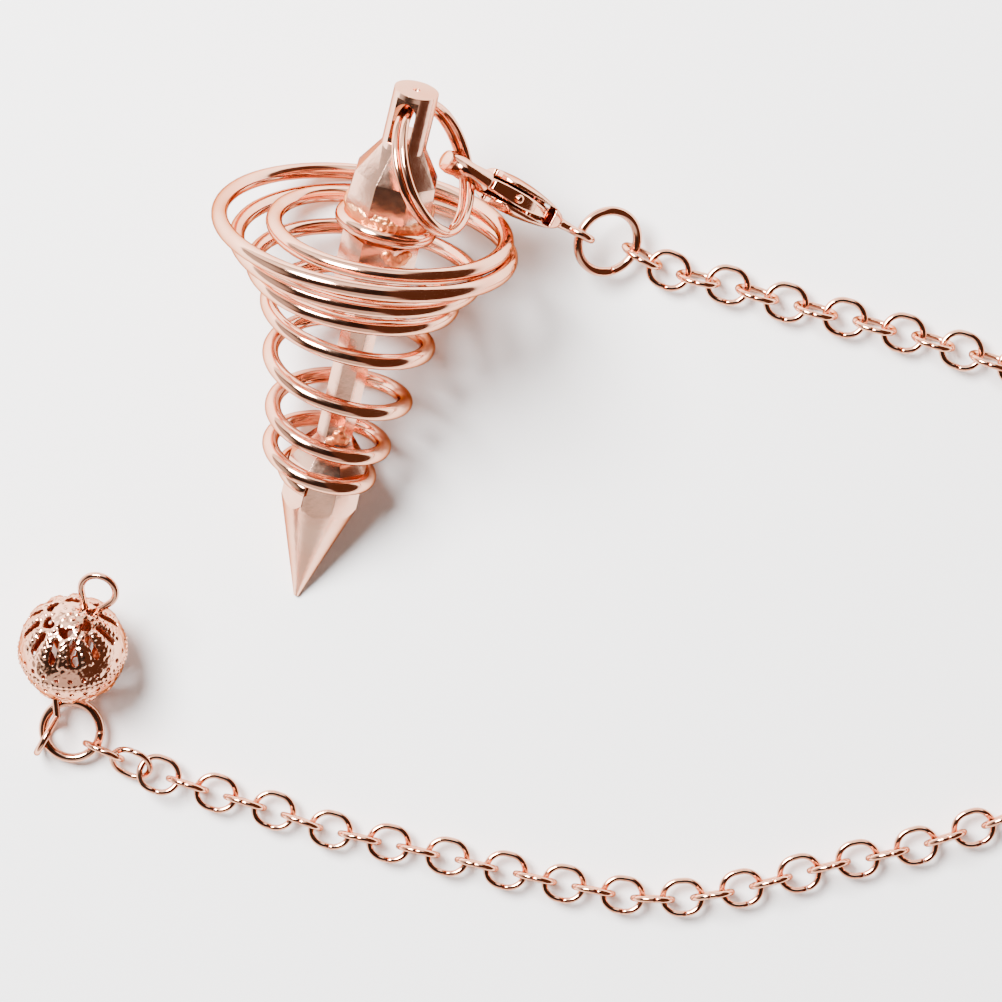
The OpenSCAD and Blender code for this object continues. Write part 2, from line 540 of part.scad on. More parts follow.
module chain() color(ROSE) lay() for (i = [0:LINK_STEPS]) {
    way = link_at(i + 0.5) - link_at(i - 0.5);
    at = link_at(i);
    lean = link_lean * link_turn(i);
    translate([at.x, at.y, link_z(i)]) rotate([lean, 0, atan2(way.y, way.x)])
        chain_link();
}

// The whole thing's reach in plan, and the move that puts the origin under its middle
TOP = pen_point([0, 0, spindle_len - tip_r]);
X_OF = [for (p = CHAIN_ROUTE) p.x];
Y_OF = [for (p = CHAIN_ROUTE) p.y];
REACH_LO = [BEAD_AT.x - bead_d / 2 - RELIEF, min(Y_OF) - link_w / 2];
REACH_HI = [max(X_OF) + link_w / 2, TOP.y + post_d / 2 * sqrt(1 - PEN_Z.y ^ 2)];
module lay() translate(-(REACH_LO + REACH_HI) / 2) children();

pendulum();
split_ring();
clasp_body();
clasp_lever();
clasp_pin();
clasp_ring();
chain();
end_ring();
filigree_bead();
bead_wire();
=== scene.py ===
# %% [markdown]
# # A pendulum pendant in polished rose gold
# A pointed spindle, soldered into a widening wire coil, lies on a white table with its split ring, lobster
# clasp, rolo chain and filigree bead. The CAD model has settled every size and place. This lesson models each
# piece again with Blender's own tools, so that edges are softened, wires are round and cast parts look cast.

# %% Load the frame
import json
import math
import bpy
import numpy as np
from mathutils import Matrix, Vector


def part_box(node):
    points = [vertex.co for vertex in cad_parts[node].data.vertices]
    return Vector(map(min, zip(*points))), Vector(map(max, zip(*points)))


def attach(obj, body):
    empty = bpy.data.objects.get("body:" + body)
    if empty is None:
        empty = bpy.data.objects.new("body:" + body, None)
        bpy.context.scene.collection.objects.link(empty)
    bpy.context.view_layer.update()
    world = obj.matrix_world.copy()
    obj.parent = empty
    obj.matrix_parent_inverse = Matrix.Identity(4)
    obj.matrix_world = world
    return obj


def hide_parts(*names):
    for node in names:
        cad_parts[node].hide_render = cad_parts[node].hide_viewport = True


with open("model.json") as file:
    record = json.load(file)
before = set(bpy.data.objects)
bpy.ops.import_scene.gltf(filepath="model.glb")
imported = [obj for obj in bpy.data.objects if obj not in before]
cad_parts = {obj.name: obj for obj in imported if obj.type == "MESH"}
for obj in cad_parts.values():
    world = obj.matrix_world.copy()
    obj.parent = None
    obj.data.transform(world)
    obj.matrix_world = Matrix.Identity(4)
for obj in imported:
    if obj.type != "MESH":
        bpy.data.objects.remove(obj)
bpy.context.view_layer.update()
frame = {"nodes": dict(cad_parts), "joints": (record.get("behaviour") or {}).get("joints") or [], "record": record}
MM = 0.001

# %% [markdown]
# ## Helpers
# Blender's operators act on whatever is selected, so every step first selects one piece alone. The helpers
# below do that, apply modifiers, cut one piece with another, and put a finished piece into its own place: a
# piece is modelled at the world's origin, where its shape is easy to describe, and moved once at the end. A
# boolean leaves its vertices in another order on each run, and a bevel or a merge depends on that order, so
# they are sorted by their distance from one spot.

# %% Select, modify, cut and join
SORT_FROM = Vector((31.1, 17.3, -41.9)) * MM


def lone(piece):
    bpy.ops.object.select_all(action="DESELECT")
    piece.select_set(True)
    bpy.context.view_layer.objects.active = piece
    return piece


def pick(piece, kind, wanted):
    """Edit mode, with only the wanted vertices, edges or polygons selected."""
    lone(piece)
    bpy.ops.object.mode_set(mode="EDIT")
    bpy.ops.mesh.select_mode(type={"vertices": "VERT", "edges": "EDGE", "polygons": "FACE"}[kind])
    bpy.ops.mesh.select_all(action="DESELECT")
    bpy.ops.object.mode_set(mode="OBJECT")
    for element in getattr(piece.data, kind):
        element.select = wanted(element)
    bpy.ops.object.mode_set(mode="EDIT")


def done():
    bpy.ops.object.mode_set(mode="OBJECT")
    return bpy.context.object


def modify(piece, kind, **settings):
    lone(piece)
    bpy.ops.object.modifier_add(type=kind)
    modifier = piece.modifiers[-1]
    for name, value in settings.items():
        setattr(modifier, name, value)
    bpy.ops.object.modifier_apply(modifier=modifier.name)
    return piece


def drop(piece):
    lone(piece)
    bpy.ops.object.delete()


def in_order(piece):
    """The elements sorted by their distance from one spot, so that each run goes on alike."""
    pick(piece, "vertices", lambda vertex: True)
    bpy.context.scene.cursor.location = SORT_FROM
    bpy.ops.mesh.sort_elements(type="CURSOR_DISTANCE", elements={"VERT", "EDGE", "FACE"})
    bpy.context.scene.cursor.location = (0, 0, 0)
    return done()


def cut(piece, tool, operation="DIFFERENCE"):
    modify(piece, "BOOLEAN", object=tool, operation=operation, solver="EXACT")
    drop(tool)
    return in_order(piece)


def join(pieces):
    bpy.ops.object.select_all(action="DESELECT")
    for piece in pieces:
        piece.select_set(True)
    bpy.context.view_layer.objects.active = pieces[0]
    bpy.ops.object.join()
    return bpy.context.object


def axes(at, x, y, z):
    """The matrix that puts what was modelled at the origin at a place, along three directions."""
    turn = Matrix((x, y, z)).transposed().to_4x4()
    return Matrix.Translation(at) @ turn


def sized(x, y, z):
    """The new primitive stretched along its own axes, since most primitives ignore a scale of their own."""
    bpy.context.object.scale = (x, y, z)
    bpy.ops.object.transform_apply(location=False, rotation=False)
    return bpy.context.object


def seat(piece, matrix):
    lone(piece)
    piece.matrix_world = matrix @ piece.matrix_world
    bpy.ops.object.transform_apply(location=True, rotation=True, scale=True)
    return piece


def clean(piece):
    """Doubles merged and faces turned outwards."""
    in_order(piece)
    pick(piece, "vertices", lambda vertex: True)
    bpy.ops.mesh.remove_doubles(threshold=0.002 * MM)
    bpy.ops.mesh.normals_make_consistent(inside=False)
    return done()


def finish(piece, name, node, material, body="pendant", smooth=30):
    """Names and smooths the piece, gives it its metal and its body, and hides the CAD node that it stands for."""
    lone(piece)
    piece.name = piece.data.name = name
    bpy.ops.object.shade_smooth_by_angle(angle=math.radians(smooth))
    piece.data.materials.clear()
    piece.data.materials.append(material)
    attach(piece, body)
    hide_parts(node)
    print(name, "has", sum(len(p.vertices) - 2 for p in piece.data.polygons), "triangles")
    return piece


# %% [markdown]
# ## Rose-gold plate
# Every piece is plated in the same bright copper-rose metal. Real plate is not one flat colour: it is a
# little redder where the polishing wheel missed it, and faint waves bend its reflections. Three noises on the
# object's own coordinates give that: a broad one for the colour, a fine one for the roughness, and one of
# each metal's own size for the waves.


# %% Metal materials
def rose_gold(name, bright, deep, rough, wave, wave_size):
    """Polished plate: its bright and deep colours, its roughness, and the height and size of its waves."""
    material = bpy.data.materials.new(name)
    material.use_nodes = True
    nodes, links = material.node_tree.nodes, material.node_tree.links
    shader = nodes["Principled BSDF"]
    shader.inputs["Metallic"].default_value = 1
    shader.inputs["Specular Tint"].default_value = (0.3, 0.13, 0.09, 1)
    place = nodes.new("ShaderNodeTexCoord")
    patches = nodes.new("ShaderNodeTexNoise")
    patches.inputs["Scale"].default_value = 260
    patches.inputs["Detail"].default_value = 3
    ramp = nodes.new("ShaderNodeValToRGB")
    ramp.color_ramp.elements[0].position = 0.3
    ramp.color_ramp.elements[0].color = (*deep, 1)
    ramp.color_ramp.elements[1].position = 0.62
    ramp.color_ramp.elements[1].color = (*bright, 1)
    polish = nodes.new("ShaderNodeTexNoise")
    polish.inputs["Scale"].default_value = 1500
    polish.inputs["Detail"].default_value = 4
    gloss = nodes.new("ShaderNodeMapRange")
    gloss.inputs["To Min"].default_value = rough * 0.6
    gloss.inputs["To Max"].default_value = rough * 1.5
    waves = nodes.new("ShaderNodeTexNoise")
    waves.inputs["Scale"].default_value = 1 / wave_size
    waves.inputs["Detail"].default_value = 2
    bump = nodes.new("ShaderNodeBump")
    bump.inputs["Strength"].default_value = 1
    bump.inputs["Distance"].default_value = wave
    for noise in (patches, polish, waves):
        links.new(place.outputs["Object"], noise.inputs["Vector"])
    links.new(patches.outputs["Fac"], ramp.inputs["Fac"])
    links.new(ramp.outputs["Color"], shader.inputs["Base Color"])
    links.new(polish.outputs["Fac"], gloss.inputs["Value"])
    links.new(gloss.outputs["Result"], shader.inputs["Roughness"])
    links.new(waves.outputs["Fac"], bump.inputs["Height"])
    links.new(bump.outputs["Normal"], shader.inputs["Normal"])
    return material


BRIGHT = (0.92, 0.5, 0.34)
DEEP = (0.86, 0.4, 0.26)
BAR = rose_gold("turned_rose_gold", (0.93, 0.55, 0.4), (0.88, 0.46, 0.32), 0.17, 0.012 * MM, 0.55 * MM)
WIRE = rose_gold("drawn_rose_gold", BRIGHT, DEEP, 0.11, 0.004 * MM, 2.2 * MM)
CAST = rose_gold("cast_rose_gold", BRIGHT, DEEP, 0.1, 0.012 * MM, 0.9 * MM)
SOLDER = rose_gold("solder_rose_gold", (0.93, 0.42, 0.2), (0.85, 0.28, 0.12), 0.34, 0.03 * MM, 0.3 * MM)
print("Metals:", [material.name for material in (BAR, WIRE, CAST, SOLDER)])

# %% [markdown]
# ## Where the pendulum lies
# The pendulum lies on its point and on the rim of its coil. Its axis rises from the point and turns away from
# the table's X direction, as the CAD model has it. Its other two directions point across, and down at the
# table. The point is a small ball, so the axis starts one radius over the table.


# %% The pendulum's own directions
def direction(rise, turn):
    """A unit vector that rises from the table and turns round Z, both in degrees."""
    rise, turn = math.radians(rise), math.radians(turn)
    return Vector((math.cos(rise) * math.cos(turn), math.cos(rise) * math.sin(turn), math.sin(rise)))


POINT_AT = Vector((-29.875, -8.98, 0)) * MM
PEN_Z = direction(19.71, 76.3)
PEN_X = Vector((PEN_Z.y, -PEN_Z.x, 0)).normalized()
POINT_R = 0.3 * MM
PEN = axes(POINT_AT + POINT_R * (Vector((0, 0, 1)) - PEN_Z), PEN_X, PEN_Z.cross(PEN_X), PEN_Z)
print("The spindle's axis runs along", [round(v, 3) for v in PEN_Z])

# %% [markdown]
# ## The spindle
# The real spindle is turned and milled from an octagonal bar: sharpened to a point like a pencil, thinned to
# a stem, and widened again to a collar and a barrel head. An octagon is extruded up the bar and resized at
# each height, and a long cone cuts the point, so that the cone leaves round scallops on the eight flats.

# %% Heights and half widths across the flats, from the point up
BAR_ROWS = [
    (0, 3.55), (15, 3.55), (17.6, 1.65), (30.5, 1.65), (34.5, 3.55), (38.8, 3.55), (38.8, 3), (40.6, 3),
    (41.5, 3.9), (44.7, 3.67), (47.7, 1.9)]
SPINDLE_LEN = 53.1 * MM
HALF_SIDE = math.radians(22.5)
CORNER = 1 / math.cos(HALF_SIDE)
CONE_R, CONE_GROWS, CONE_STEP, CONE_ROWS, CONE_TOP = 0.24, 0.3216, 0.5, 27, 60


def rise_along(rows):
    """Extrudes the selected face up Z through rows of height and size in mm, and resizes it at each."""
    for (low, size), (high, next_size) in zip(rows, rows[1:]):
        bpy.ops.mesh.extrude_region_move(TRANSFORM_OT_translate={"value": (0, 0, (high - low) * MM)})
        grow = next_size / size
        bpy.ops.transform.resize(value=(grow, grow, 1), center_override=(0, 0, high * MM))


bpy.ops.object.select_all(action="DESELECT")
bpy.ops.mesh.primitive_circle_add(vertices=8, radius=BAR_ROWS[0][1] * MM * CORNER, fill_type="NGON",
                                  rotation=(0, 0, HALF_SIDE))
bpy.ops.object.transform_apply(rotation=True)
bpy.ops.object.mode_set(mode="EDIT")
rise_along(BAR_ROWS)
spindle = clean(done())
cone_heights = [CONE_STEP * i for i in range(CONE_ROWS)] + [CONE_TOP]
cone_rows = [(height, CONE_R + CONE_GROWS * height) for height in cone_heights]
bpy.ops.object.select_all(action="DESELECT")
bpy.ops.mesh.primitive_circle_add(vertices=128, radius=cone_rows[0][1] * MM, fill_type="NGON")
bpy.ops.object.mode_set(mode="EDIT")
rise_along(cone_rows)
cut(spindle, clean(done()), "INTERSECT")
print("Spindle bar:", len(spindle.data.polygons), "faces")

# %% [markdown]
# ## The post and its eye
# Above the head the bar ends in a round post, milled flat on one side, with an arched slot right through it
# for the split ring and a lathe's centre mark in its top. The slot is a cube and a cylinder across the post.

# %% The post, its milled flat, its arched eye and its centre mark
POST_R = 2.05 * MM
EYE_W, EYE_H, EYE_Z = 2 * MM, 3.6 * MM, 50.4 * MM
EYE_TURN = math.radians(-17)
POST_FOOT = 47.7 * MM
MILLED_H, MILLED_AT = EYE_H + 0.9 * MM, 1.86 * POST_R
MARK_R = 0.35 * MM
bpy.ops.mesh.primitive_cylinder_add(vertices=96, radius=POST_R, depth=SPINDLE_LEN - POST_FOOT + MM,
                                    location=(0, 0, (SPINDLE_LEN + POST_FOOT - MM) / 2))
post = bpy.context.object
across = Matrix.Rotation(EYE_TURN, 4, "Z")
bpy.ops.mesh.primitive_cylinder_add(vertices=48, radius=EYE_W / 2, depth=4 * POST_R,
                                    rotation=(math.pi / 2, 0, 0),
                                    location=(0, 0, EYE_Z + EYE_H / 2 - EYE_W / 2))
arch = bpy.context.object
bpy.ops.mesh.primitive_cube_add(size=1, scale=(EYE_W, 4 * POST_R, EYE_H - EYE_W / 2),
                                location=(0, 0, EYE_Z - EYE_W / 4))
cut(arch, bpy.context.object, "UNION")
cut(post, seat(arch, across))
bpy.ops.mesh.primitive_cube_add(size=1, scale=(4 * POST_R, 2 * POST_R, MILLED_H),
                                location=(0, -MILLED_AT, POST_FOOT + 0.4 * MM + MILLED_H / 2))
cut(post, seat(bpy.context.object, across))
bpy.ops.mesh.primitive_uv_sphere_add(segments=24, ring_count=12, radius=MARK_R,
                                     location=(0, 0, SPINDLE_LEN))
cut(post, bpy.context.object)
cut(spindle, post, "UNION")
modify(spindle, "BEVEL", width=0.2 * MM, segments=4, limit_method="ANGLE", angle_limit=math.radians(24))
seat(clean(spindle), PEN)
finish(spindle, "spindle", "pendulum", BAR, smooth=14)

# %% [markdown]
# ## Wires
# A wire can be a curve with a thickness. By hand, one vertex is extruded from point to point, the chain of
# edges is turned into a curve, the curve gets its bevel, and the result is turned back into a mesh with
# closed ends.


# %% A wire along a row of points
def wire(points, diameter, fine=4):
    bpy.ops.object.select_all(action="DESELECT")
    bpy.ops.mesh.primitive_plane_add(size=MM)
    bpy.ops.object.mode_set(mode="EDIT")
    bpy.ops.mesh.merge(type="CENTER")
    bpy.ops.transform.translate(value=points[0])
    for here, there in zip(points, points[1:]):
        bpy.ops.mesh.extrude_region_move(TRANSFORM_OT_translate={"value": there - here})
    bpy.ops.object.mode_set(mode="OBJECT")
    bpy.ops.object.convert(target="CURVE")
    curve = bpy.context.object.data
    curve.dimensions = "3D"
    curve.bevel_depth = diameter / 2
    curve.bevel_resolution = fine
    curve.use_fill_caps = True
    bpy.ops.object.convert(target="MESH")
    piece = clean(bpy.context.object)
    return modify(piece, "BEVEL", width=0.12 * diameter, segments=2, limit_method="ANGLE",
                  angle_limit=math.radians(50))


def smooth_rows(rows, t, column):
    """A column's value at t, on a smooth curve through the rows of a table whose first column is t."""
    i = max(k for k in range(len(rows) - 1) if k == 0 or rows[k][0] <= t)
    slopes = []
    for k in (i, i + 1):
        low, high = rows[max(k - 1, 0)], rows[min(k + 1, len(rows) - 1)]
        slopes.append((high[column] - low[column]) / (high[0] - low[0]))
    width = rows[i + 1][0] - rows[i][0]
    u = (t - rows[i][0]) / width
    return (rows[i][column] * (2 * u**3 - 3 * u**2 + 1) + rows[i + 1][column] * (3 * u**2 - 2 * u**3)
            + width * (slopes[0] * (u**3 - 2 * u**2 + u) + slopes[1] * (u**3 - u**2)))


# %% [markdown]
# ## The coil
# The coil hugs the sharpened end, climbs in narrow turns, widens to a broad rim of three turns and comes back
# in one sweep to the groove under the head. A table gives the radius, height and lean at each turn as shares
# of the coil's own sizes, and a loop walks the turns in small steps.

# %% Turns, and radius, height and lean as shares
COIL = [
    (-0.7, 0.286, -0.01, 0), (-0.45, 0.286, 0.005, 0), (-0.2, 0.284, 0.012, 0.02), (0, 0.296, 0.03, 0.03),
    (0.25, 0.387, 0.055, 0.06), (0.5, 0.413, 0.085, 0.09), (0.75, 0.385, 0.115, 0.12),
    (1, 0.364, 0.147, 0.16), (1.25, 0.395, 0.182, 0.2), (1.5, 0.436, 0.228, 0.25), (2, 0.456, 0.333, 0.37),
    (2.5, 0.51, 0.44, 0.5),
    (3, 0.544, 0.55, 0.62), (3.5, 0.582, 0.64, 0.72), (4, 0.655, 0.717, 0.81), (4.5, 0.718, 0.775, 0.87),
    (5, 0.779, 0.819, 0.92), (5.5, 0.856, 0.866, 0.97), (5.75, 0.931, 0.897, 1), (6, 0.98, 0.92, 1),
    (6.25, 0.999, 0.945, 1), (6.5, 1, 0.953, 1), (6.75, 0.981, 0.958, 1), (7, 0.926, 0.967, 1),
    (7.25, 0.811, 0.972, 1), (7.5, 0.632, 0.975, 0.8), (7.75, 0.43, 0.975, 0.4), (8, 0.31, 0.985, 0.1),
    (8.25, 0.29, 1.005, 0), (8.5, 0.29, 0.995, 0), (8.72, 0.29, 0.99, 0)]
COIL_R, COIL_FOOT, COIL_TOP, COIL_WIRE = 13.5 * MM, 13.4 * MM, 39.9 * MM, 1.5 * MM
COIL_LEAN, COIL_TILT = 1.4 * MM, math.tan(math.radians(5))
STEPS_PER_TURN = 64


def coil_point(turn):
    radius, height, lean = (smooth_rows(COIL, turn, column) for column in (1, 2, 3))
    x = COIL_R * radius * math.cos(-2 * math.pi * turn)
    y = COIL_R * radius * math.sin(-2 * math.pi * turn)
    z = COIL_FOOT + (COIL_TOP - COIL_FOOT) * height + lean * COIL_TILT * (x - 0.4 * y)
    return Vector((x - COIL_LEAN * lean, y, z))


first, last = COIL[0][0], COIL[-1][0]
steps = round((last - first) * STEPS_PER_TURN)
coil = wire([coil_point(first + (last - first) * i / steps) for i in range(steps + 1)], COIL_WIRE, fine=6)
seat(coil, PEN)
finish(coil, "coil", "pendulum", WIRE, smooth=60)

# %% [markdown]
# ## Solder
# Solder holds the coil to the bar: a grainy skirt under the head, a lump at the collar and one at the stem's
# foot. A cone and small flattened balls are joined, remeshed into one skin and roughened by a noise
# displacement. Rows of balls give their azimuth in degrees, and their height and radius in mm.


# %% Lumps of solder
LUMP_FLAT, LUMP_WIDE = 0.7, 1.2


def lumps(seat_r, rows):
    """Flattened balls round the bar, at a radius in mm."""
    made = []
    for azimuth, height, radius in rows:
        turn = math.radians(azimuth)
        bpy.ops.mesh.primitive_ico_sphere_add(
            subdivisions=3, radius=radius * MM, rotation=(0, 0, turn),
            location=(seat_r * MM * math.cos(turn), seat_r * MM * math.sin(turn), height * MM))
        made.append(sized(LUMP_FLAT, LUMP_WIDE, 1))
        bpy.ops.object.transform_apply()
    return made


def wobble(azimuth, share):
    """An uneven but repeatable value between about -share and share round the bar."""
    turn = math.radians(azimuth)
    return share * (0.5 * math.sin(3 * turn + 1) + 0.3 * math.sin(7 * turn) + 0.2 * math.sin(17 * turn + 2))


bpy.ops.object.select_all(action="DESELECT")
bpy.ops.mesh.primitive_cone_add(vertices=64, radius1=3.6 * MM, radius2=4.16 * MM, depth=1.9 * MM,
                                location=(0, 0, 40.5 * MM))
fillet = bpy.context.object
bpy.ops.object.transform_apply()
edge = [(a, 41.45 + wobble(a, 0.4), 0.34 + wobble(2 * a, 0.1)) for a in range(0, 360, 8)]
low_edge = [(a, 39.7 + wobble(a + 40, 0.12), 0.4 + wobble(3 * a, 0.1)) for a in range(0, 360, 10)]
collar_lump = [(-44, 38.1, 0.5), (-52, 37.8, 0.62), (-60, 37.6, 0.66), (-68, 37.8, 0.6), (-76, 38.2, 0.5)]
stem_lump = [(-60, 17.9, 0.62), (-95, 17.6, 0.5), (-76, 18.4, 0.5), (-70, 19.1, 0.35)]
solder = join([fillet] + lumps(3.86, edge) + lumps(3.3, low_edge) + lumps(3.6, collar_lump)
              + lumps(1.65, stem_lump))
modify(solder, "REMESH", mode="VOXEL", voxel_size=0.09 * MM)
grain = bpy.data.textures.new("solder_grain", "CLOUDS")
grain.noise_scale = 0.35 * MM
modify(solder, "DISPLACE", texture=grain, strength=0.2 * MM, mid_level=0.5, texture_coords="LOCAL")
seat(clean(solder), PEN)
finish(solder, "solder", "pendulum", SOLDER, smooth=60)

# %% [markdown]
# ## Split ring
# The split ring is one wire wound nearly twice, like a key ring. It goes through the eye of the post, and the
# clasp hooks into it. The record's mount gives its middle and its axis.

# %% The split ring's two turns
MOUNTS = {mount["name"]: mount for mount in frame["record"]["mounts"]}
SPLIT_D, SPLIT_WIRE, SPLIT_GAP, SPLIT_TURNS = 12 * MM, 0.75 * MM, 0.03 * MM, 1.9
split_z = Vector(MOUNTS["hook"]["axis"]).normalized()
split_x = split_z.cross(Vector((0, 0, 1))).normalized()
SPLIT = axes(Vector(MOUNTS["hook"]["pos_m"]), split_x, split_z.cross(split_x), split_z)


def split_point(share):
    angle = math.radians(200 + 360 * SPLIT_TURNS * share)
    lift = (SPLIT_WIRE + SPLIT_GAP) * SPLIT_TURNS * (share - 0.5)
    return Vector((SPLIT_D / 2 * math.cos(angle), SPLIT_D / 2 * math.sin(angle), lift))


split_ring = wire([split_point(i / 150) for i in range(151)], SPLIT_WIRE, fine=4)
seat(split_ring, SPLIT)
finish(split_ring, "split_ring_wire", "split_ring", WIRE, smooth=60)

# %% [markdown]
# ## Jump rings
# A jump ring is a piece of wire bent round until its ends meet. The wire's round section is spun about the
# ring's axis a little short of a full turn, which leaves the hairline joint that real jump rings show.
# The CAD rings give their places: a ring's axis is the direction in which its corners spread least.


# %% Rings by spinning a section, placed on the CAD rings
def middle_and_axes(points):
    """The middle of some points and the directions in which they spread most, less and least."""
    points = np.array(points)
    middle = (points.max(axis=0) + points.min(axis=0)) / 2
    spread = np.linalg.eigh(np.cov((points - points.mean(axis=0)).T))[1]
    most, least = Vector(spread[:, 2]), Vector(spread[:, 0])
    return Vector(middle), most, least.cross(most), least


def section(sides, diameter, at):
    """A round wire's end face at a place, facing along Y."""
    bpy.ops.object.select_all(action="DESELECT")
    bpy.ops.mesh.primitive_circle_add(vertices=sides, radius=diameter / 2, fill_type="NGON", location=at,
                                      rotation=(math.pi / 2, 0, 0))
    bpy.ops.object.transform_apply()
    bpy.ops.object.mode_set(mode="EDIT")
    bpy.ops.mesh.select_all(action="SELECT")


def bent_ring(ring_d, wire_d, joint_deg=1.2):
    section(18, wire_d, (ring_d / 2, 0, 0))
    bpy.ops.mesh.spin(steps=72, angle=math.radians(360 - joint_deg), center=(0, 0, 0), axis=(0, 0, 1))
    ring = clean(done())
    return modify(ring, "BEVEL", width=0.1 * wire_d, segments=2, limit_method="ANGLE",
                  angle_limit=math.radians(50))


for node, ring_d, joint_turn in (("clasp_ring", 5.96 * MM, 60), ("end_ring", 5.44 * MM, 20)):
    cad_points = [vertex.co for vertex in frame["nodes"][node].data.vertices]
    ring = seat(bent_ring(ring_d, 0.86 * MM), Matrix.Rotation(math.radians(joint_turn), 4, "Z"))
    seat(ring, axes(*middle_and_axes(cad_points)))
    finish(clean(ring), node + "_wire", node, WIRE, smooth=50)

# %% [markdown]
# ## Rolo chain
# Each link is a short wire bent into an oval, closed along one of its sides. It is modelled once: a section
# is spun half round, drawn along, spun half round again and drawn back to its own start. The CAD chain says
# where each link lies, so a copy of it is split into loose parts, and the modelled link is set on each.


# %% One link, then a copy of it on every CAD link
LINK_LEN, LINK_W, LINK_WIRE = 4.35 * MM, 3.8 * MM, 0.6 * MM
BEND, STRAIGHT = (LINK_W - LINK_WIRE) / 2, LINK_LEN - LINK_W
LINK_JOINT = 0.02 * MM

section(12, LINK_WIRE, (BEND, 0, 0))
bpy.ops.mesh.spin(steps=16, angle=math.pi, center=(0, 0, 0), axis=(0, 0, -1))
bpy.ops.mesh.extrude_region_move(TRANSFORM_OT_translate={"value": (0, -STRAIGHT, 0)})
bpy.ops.mesh.spin(steps=16, angle=math.pi, center=(0, -STRAIGHT, 0), axis=(0, 0, -1))
bpy.ops.mesh.extrude_region_move(TRANSFORM_OT_translate={"value": (0, STRAIGHT - LINK_JOINT, 0)})
link = clean(done())
modify(link, "BEVEL", width=0.05 * MM, segments=1, limit_method="ANGLE", angle_limit=math.radians(50))
seat(link, Matrix.Rotation(math.pi / 2, 4, "Z") @ Matrix.Translation((0, STRAIGHT / 2, 0)))
print("One link is", [round(v / MM, 2) for v in link.dimensions], "mm")

lone(frame["nodes"]["chain"])
bpy.ops.object.duplicate()
clean(bpy.context.object)
bpy.ops.mesh.separate(type="LOOSE")
parts = list(bpy.context.selected_objects)
links = []
for part in parts:
    place = axes(*middle_and_axes([vertex.co for vertex in part.data.vertices]))
    lone(link)
    bpy.ops.object.duplicate()
    links.append(seat(bpy.context.object, place))
    drop(part)
drop(link)
chain = join(links)
finish(chain, "chain_links", "chain", WIRE, smooth=50)
print("The chain has", len(links), "links")

# %% [markdown]
# ## Lobster clasp
# The claw is cast: a smooth pod with a curled hook, a slot down its back for the lever, a thin neck and an
# eye. Rings of an ellipse are extruded along the clasp and resized by a table of the pod's outline. Cutters
# open the hook, the gate and the slot, the neck and eye are joined on, and a fine voxel remesh melts it all
# into one casting.

# %% The clasp's directions, from the lever's hinge
HINGE = frame["joints"][0]
PIN_AT = Vector((7.431, 0.55, 0)) * MM
clasp_x = direction(-28, -31)
clasp_z = Vector(HINGE["axis"]).normalized()
clasp_y = clasp_z.cross(clasp_x)
CLASP = axes(Vector(HINGE["pos_m"]) - PIN_AT.x * clasp_x - PIN_AT.y * clasp_y, clasp_x, clasp_y, clasp_z)
CLASP_LEN, HOOK_R, HOOK_HOLE_R, POD_W, RIM_RISE = 13.8, 2.6, 1.7, 3.5, 0.9

# %% The pod: place, spine, gate and side as shares of the clasp's length, hook radius and half width
POD = [
    (-0.2, -0.05, 0.05, 0.3), (-0.187, -0.36, 0.36, 0.52), (-0.15, -0.68, 0.68, 0.6),
    (-0.1, -0.88, 0.88, 0.66), (-0.03, -1, 0.98, 0.7), (0.06, -1.03, 0.97, 0.76),
    (0.15, -0.98, 0.9, 0.84), (0.25, -0.9, 0.84, 0.95), (0.35, -0.8, 0.8, 1), (0.47, -0.68, 0.7, 0.95),
    (0.59, -0.54, 0.56, 0.82), (0.69, -0.42, 0.42, 0.66), (0.76, -0.32, 0.32, 0.52), (0.8, -0.24, 0.26, 0.4)]
POD_RINGS = 57
RIM_FROM, RIM_TO, RIM_FADE, RIM_FLAT = 0.23, 0.8, (0.12, 0.1), 0.12
NECK = [(10.7, -0.62, 0.62, 0.62), (11.3, -0.5, 0.5, 0.5), (12.2, -0.42, 0.42, 0.42), (12.8, -0.4, 0.4, 0.4)]


def loft(rows, sides=32):
    """Ellipses extruded along X: rows of place, lower edge, upper edge and half width, all in mm."""
    x, low, high, half = rows[0]
    bpy.ops.object.select_all(action="DESELECT")
    bpy.ops.mesh.primitive_circle_add(vertices=sides, radius=MM, fill_type="NGON",
                                      rotation=(0, math.pi / 2, 0),
                                      location=(x * MM, (low + high) / 2 * MM, 0))
    sized(half, (high - low) / 2, 1)
    bpy.ops.object.transform_apply()
    bpy.ops.object.mode_set(mode="EDIT")
    bpy.ops.mesh.select_all(action="SELECT")
    for (x0, low0, high0, half0), (x1, low1, high1, half1) in zip(rows, rows[1:]):
        step = ((x1 - x0) * MM, (low1 + high1 - low0 - high0) / 2 * MM, 0)
        bpy.ops.mesh.extrude_region_move(TRANSFORM_OT_translate={"value": step})
        bpy.ops.transform.resize(value=(1, (high1 - low1) / (high0 - low0), half1 / half0),
                                 center_override=(x1 * MM, (low1 + high1) / 2 * MM, 0))
    return clean(done())


def prism(outline, depth=2 * MM):
    """An upright prism over an outline in mm."""
    bpy.ops.object.select_all(action="DESELECT")
    bpy.ops.mesh.primitive_cylinder_add(vertices=len(outline), radius=MM, depth=depth)
    piece = bpy.context.object
    for i, vertex in enumerate(piece.data.vertices):
        vertex.co.x, vertex.co.y = (v * MM for v in outline[i // 2])
    return clean(piece)


def block(low, high):
    """A cube between two corners, in mm."""
    low, high = Vector(low) * MM, Vector(high) * MM
    bpy.ops.object.select_all(action="DESELECT")
    bpy.ops.mesh.primitive_cube_add(size=1, scale=high - low, location=(low + high) / 2)
    bpy.ops.object.transform_apply()
    return bpy.context.object


